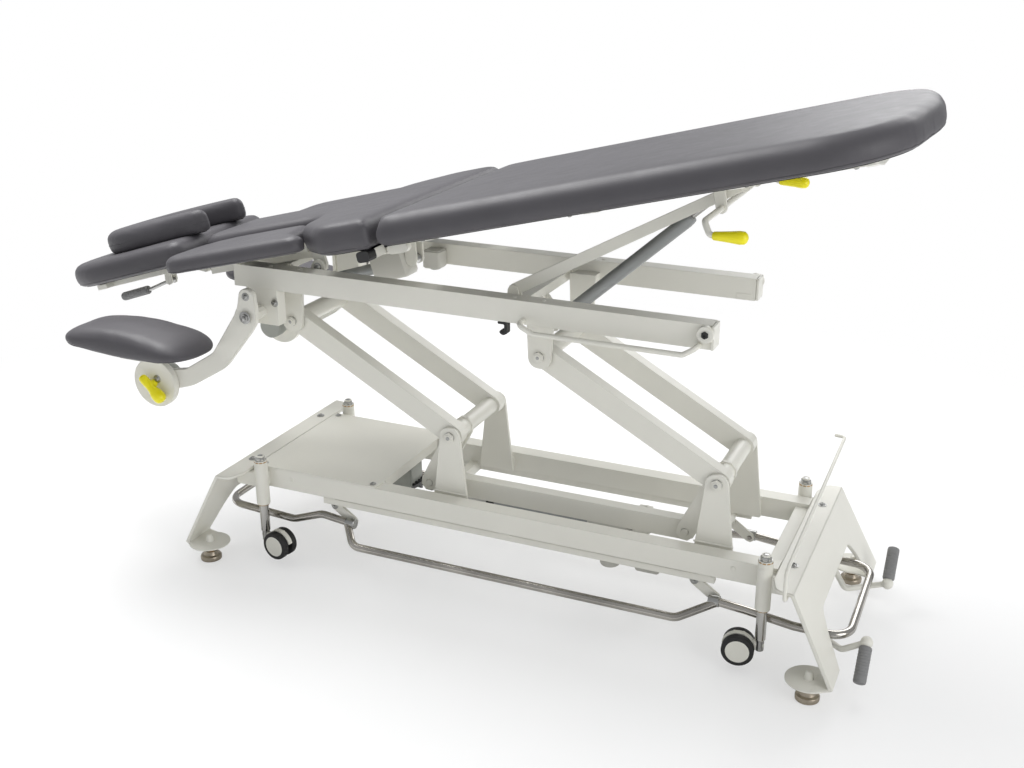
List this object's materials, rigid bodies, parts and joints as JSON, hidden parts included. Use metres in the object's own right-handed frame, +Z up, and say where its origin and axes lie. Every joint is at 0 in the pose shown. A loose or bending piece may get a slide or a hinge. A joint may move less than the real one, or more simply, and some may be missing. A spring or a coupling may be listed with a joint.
{
  "type": "massage table",
  "caption": "Height-adjustable padded treatment table on a parallelogram lift, with a tilting top, drop head section, side leaves and armrests.",
  "frame": {"origin": "on the floor, under the middle of the table's length and width", "axes": "+Z up, +X toward the foot end, -Y toward the near long side of the picture"},
  "size_m": [2.0687, 0.766, 1.1632],
  "materials": {
    "coat": "smooth powder coat, satin",
    "vinyl": "dark grey satin vinyl over foam",
    "chrome": "polished chrome",
    "steel": "plain zinc-plated steel",
    "yellow": "glossy yellow plastic",
    "black": "matt black plastic and rubber",
    "motor": "greenish grey moulded plastic"
  },
  "bodies": {
    "base": {"base_frame": "coat", "head_end_plate": "coat", "foot_end_plate": "coat", "cover_plate": "coat", "control_box": "motor", "paper_roll_holder": "chrome"},
    "castor_lift": {"castor_post_head_near": "chrome", "castor_post_head_far": "chrome", "castor_post_foot_near": "chrome", "castor_post_foot_far": "chrome"},
    "head_arm": {"head_lift_arm": "coat"},
    "foot_arm": {"foot_lift_arm": "coat"},
    "tie_link": {"tie_bar": "coat"},
    "lift_rod_body": {"lift_rod": "chrome"},
    "lift_motor_body": {"lift_motor": "motor"},
    "pedal_near": {"castor_pedal_near": "coat"},
    "pedal_far": {"castor_pedal_far": "coat"},
    "head_swing": {"head_swing_levers": "coat"},
    "foot_swing": {"foot_swing_levers": "coat"},
    "control": {"control_frame": "chrome"},
    "upper": {"upper_frame": "coat", "rail_bumper_near": "coat", "rail_bumper_far": "coat", "sheet_rail_near": "coat", "sheet_rail_far": "coat", "junction_box": "motor"},
    "thorax": {"thorax_frame": "coat", "hinge_cover_near": "black", "hinge_cover_far": "black", "thorax_pad": "vinyl", "leaf_pad_near": "vinyl", "leaf_pad_far": "vinyl"},
    "pivot_motor_body": {"pivot_motor": "motor"},
    "pivot_rod_body": {"pivot_rod": "chrome"},
    "leg": {"leg_frame": "coat", "leg_pad": "vinyl"},
    "stay": {"leg_stay": "steel"},
    "gas_rod_body": {"gas_rod": "chrome"},
    "gas_cylinder_body": {"gas_cylinder": "steel"},
    "handle": {"release_handle": "yellow"},
    "head_section": {"head_frame": "coat", "head_pad": "vinyl", "face_cushion": "vinyl"},
    "head_lever_body": {"head_lever": "black"},
    "fork_head_near": {"castor_fork_head_near": "black"},
    "wheels_head_near": {"castor_wheels_head_near": "black"},
    "fork_head_far": {"castor_fork_head_far": "black"},
    "wheels_head_far": {"castor_wheels_head_far": "black"},
    "fork_foot_near": {"castor_fork_foot_near": "black"},
    "wheels_foot_near": {"castor_wheels_foot_near": "black"},
    "fork_foot_far": {"castor_fork_foot_far": "black"},
    "wheels_foot_far": {"castor_wheels_foot_far": "black"},
    "arm_near": {"armrest_arm_near": "coat"},
    "hub_near": {"armrest_hub_near": "coat", "arm_pad_near": "vinyl"},
    "clamp_near": {"armrest_clamp_near": "yellow"},
    "arm_far": {"armrest_arm_far": "coat"},
    "hub_far": {"armrest_hub_far": "coat", "arm_pad_far": "vinyl"},
    "clamp_far": {"armrest_clamp_far": "yellow"}
  },
  "joints": [
    {"name": "lift", "type": "hinge", "parent": "base", "child": "head_arm", "pos_m": [0.04, 0, 0.3694], "axis": [0, 1, 0], "range_deg": [-24, 24]},
    {"name": "upper_level", "type": "hinge", "parent": "head_arm", "child": "upper", "pos_m": [-0.36008, 0, 0.59172], "axis": [0, 1, 0], "range_deg": [-24, 24]},
    {"name": "foot_arm_swing", "type": "hinge", "parent": "base", "child": "foot_arm", "pos_m": [0.6575, 0, 0.3694], "axis": [0, 1, 0], "range_deg": [-24, 24]},
    {"name": "tie_bar_swing", "type": "hinge", "parent": "head_arm", "child": "tie_link", "pos_m": [-0.0325, -0.07, 0.2294], "axis": [0, 1, 0], "range_deg": [-24, 24]},
    {"name": "lift_rod_tilt", "type": "hinge", "parent": "base", "child": "lift_rod_body", "pos_m": [-0.001, -0.025, 0.18], "axis": [0, 1, 0], "range_deg": [-4, 4]},
    {"name": "lift_extend", "type": "slide", "parent": "lift_rod_body", "child": "lift_motor_body", "axis": [1, 0, 0], "range_m": [-0.057, 0.057]},
    {"name": "castor_drop", "type": "slide", "parent": "base", "child": "castor_lift", "axis": [0, 0, 1], "range_m": [-0.03, 0]},
    {"name": "pedal_near_press", "type": "hinge", "parent": "base", "child": "pedal_near", "pos_m": [0.806, -0.12, 0.163], "axis": [0, 1, 0], "range_deg": [0, 6]},
    {"name": "pedal_far_press", "type": "hinge", "parent": "base", "child": "pedal_far", "pos_m": [0.806, 0.12, 0.163], "axis": [0, 1, 0], "range_deg": [-6, 0]},
    {"name": "castor_swivel_head_near", "type": "hinge", "parent": "castor_lift", "child": "fork_head_near", "pos_m": [-0.427, -0.1966, 0.05], "axis": [0, 0, 1], "continuous": true},
    {"name": "castor_roll_head_near", "type": "hinge", "parent": "fork_head_near", "child": "wheels_head_near", "pos_m": [-0.38402, -0.20264, 0.05], "axis": [0.1392, 0.9903, 0], "continuous": true},
    {"name": "castor_swivel_head_far", "type": "hinge", "parent": "castor_lift", "child": "fork_head_far", "pos_m": [-0.427, 0.1966, 0.05], "axis": [0, 0, 1], "continuous": true},
    {"name": "castor_roll_head_far", "type": "hinge", "parent": "fork_head_far", "child": "wheels_head_far", "pos_m": [-0.39375, 0.2245, 0.05], "axis": [-0.6428, 0.766, 0], "continuous": true},
    {"name": "castor_swivel_foot_near", "type": "hinge", "parent": "castor_lift", "child": "fork_foot_near", "pos_m": [0.7846, -0.1966, 0.05], "axis": [0, 0, 1], "continuous": true},
    {"name": "castor_roll_foot_near", "type": "hinge", "parent": "fork_foot_near", "child": "wheels_foot_near", "pos_m": [0.74162, -0.20264, 0.05], "axis": [0.1392, -0.9903, 0], "continuous": true},
    {"name": "castor_swivel_foot_far", "type": "hinge", "parent": "castor_lift", "child": "fork_foot_far", "pos_m": [0.7846, 0.1966, 0.05], "axis": [0, 0, 1], "continuous": true},
    {"name": "castor_roll_foot_far", "type": "hinge", "parent": "fork_foot_far", "child": "wheels_foot_far", "pos_m": [0.75971, 0.23215, 0.05], "axis": [-0.8192, -0.5736, 0], "continuous": true},
    {"name": "control_swing", "type": "hinge", "parent": "base", "child": "head_swing", "pos_m": [-0.257, 0, 0.152], "axis": [0, -1, 0], "range_deg": [-2, 8], "stiffness_Nm_per_rad": 40, "springref_deg": 2.86},
    {"name": "control_level", "type": "hinge", "parent": "head_swing", "child": "control", "pos_m": [-0.209, 0, 0.119], "axis": [0, -1, 0], "range_deg": [-8, 2]},
    {"name": "foot_lever_swing", "type": "hinge", "parent": "base", "child": "foot_swing", "pos_m": [0.627, 0, 0.152], "axis": [0, -1, 0], "range_deg": [-2, 8]},
    {"name": "top_tilt", "type": "hinge", "parent": "upper", "child": "thorax", "pos_m": [-0.266, 0, 0.737], "axis": [0, -1, 0], "range_deg": [-14.2, 2]},
    {"name": "leg_lift", "type": "hinge", "parent": "thorax", "child": "leg", "pos_m": [-0.016, 0, 0.8285], "axis": [0, -1, 0], "range_deg": [0, 4]},
    {"name": "pivot_motor_swing", "type": "hinge", "parent": "thorax", "child": "pivot_motor_body", "pos_m": [-0.076, -0.05, 0.752], "axis": [0, -1, 0], "range_deg": [-1, 6]},
    {"name": "pivot_extend", "type": "slide", "parent": "pivot_motor_body", "child": "pivot_rod_body", "axis": [-0.9493, 0, -0.3143], "range_m": [-0.0145, 0.0025]},
    {"name": "stay_swing", "type": "hinge", "parent": "leg", "child": "stay", "pos_m": [0.679, -0.12, 0.997], "axis": [0, -1, 0], "range_deg": [-12, 2]},
    {"name": "gas_swing", "type": "hinge", "parent": "leg", "child": "gas_rod_body", "pos_m": [0.624, 0, 0.968], "axis": [0, -1, 0], "range_deg": [-12, 2]},
    {"name": "gas_extend", "type": "slide", "parent": "gas_rod_body", "child": "gas_cylinder_body", "axis": [0.7472, 0, 0.6646], "range_m": [-0.0135, 0.0885]},
    {"name": "release_pull", "type": "hinge", "parent": "leg", "child": "handle", "pos_m": [0.639, 0, 0.951], "axis": [0, -1, 0], "range_deg": [0, 8]},
    {"name": "head_tilt", "type": "hinge", "parent": "thorax", "child": "head_section", "pos_m": [-0.611, 0, 0.6836], "axis": [0, 1, 0], "range_deg": [-30, 5]},
    {"name": "head_lever_pull", "type": "hinge", "parent": "head_section", "child": "head_lever_body", "pos_m": [-0.70894, -0.11, 0.64491], "axis": [0, 1, 0], "range_deg": [0, 5]},
    {"name": "armrest_swing_near", "type": "hinge", "parent": "upper", "child": "arm_near", "pos_m": [-0.396, -0.24, 0.631], "axis": [0, 1, 0], "range_deg": [-8, 15]},
    {"name": "arm_pad_tilt_near", "type": "hinge", "parent": "arm_near", "child": "hub_near", "pos_m": [-0.659, -0.24, 0.441], "axis": [0, 1, 0], "range_deg": [-15, 0]},
    {"name": "clamp_turn_near", "type": "hinge", "parent": "arm_near", "child": "clamp_near", "pos_m": [-0.659, -0.24, 0.441], "axis": [0, 1, 0], "range_deg": [-30, 30]},
    {"name": "armrest_swing_far", "type": "hinge", "parent": "upper", "child": "arm_far", "pos_m": [-0.396, 0.24, 0.631], "axis": [0, 1, 0], "range_deg": [-8, 15]},
    {"name": "arm_pad_tilt_far", "type": "hinge", "parent": "arm_far", "child": "hub_far", "pos_m": [-0.659, 0.24, 0.441], "axis": [0, 1, 0], "range_deg": [-15, 0]},
    {"name": "clamp_turn_far", "type": "hinge", "parent": "arm_far", "child": "clamp_far", "pos_m": [-0.659, 0.24, 0.441], "axis": [0, 1, 0], "range_deg": [-30, 30]}
  ],
  "couplings": [
    {"joint": "upper_level", "follows": "lift", "ratio": -1},
    {"joint": "foot_arm_swing", "follows": "lift", "ratio": 1},
    {"joint": "tie_bar_swing", "follows": "lift", "ratio": -1},
    {"joint": "lift_rod_tilt", "follows": "lift", "ratio": -0.157},
    {"joint": "lift_extend", "follows": "lift", "m_per_rad": -0.1339},
    {"joint": "castor_drop", "follows": "pedal_near_press", "m_per_rad": -0.28648},
    {"joint": "pedal_far_press", "follows": "pedal_near_press", "ratio": -1},
    {"joint": "control_level", "follows": "control_swing", "ratio": -1},
    {"joint": "foot_lever_swing", "follows": "control_swing", "ratio": 1},
    {"joint": "pivot_motor_swing", "follows": "top_tilt", "ratio": -0.415},
    {"joint": "pivot_extend", "follows": "top_tilt", "m_per_rad": 0.0549},
    {"joint": "stay_swing", "follows": "top_tilt", "ratio": 0.83},
    {"joint": "gas_swing", "follows": "top_tilt", "ratio": 0.8},
    {"joint": "gas_extend", "follows": "top_tilt", "m_per_rad": -0.355}
  ]
}
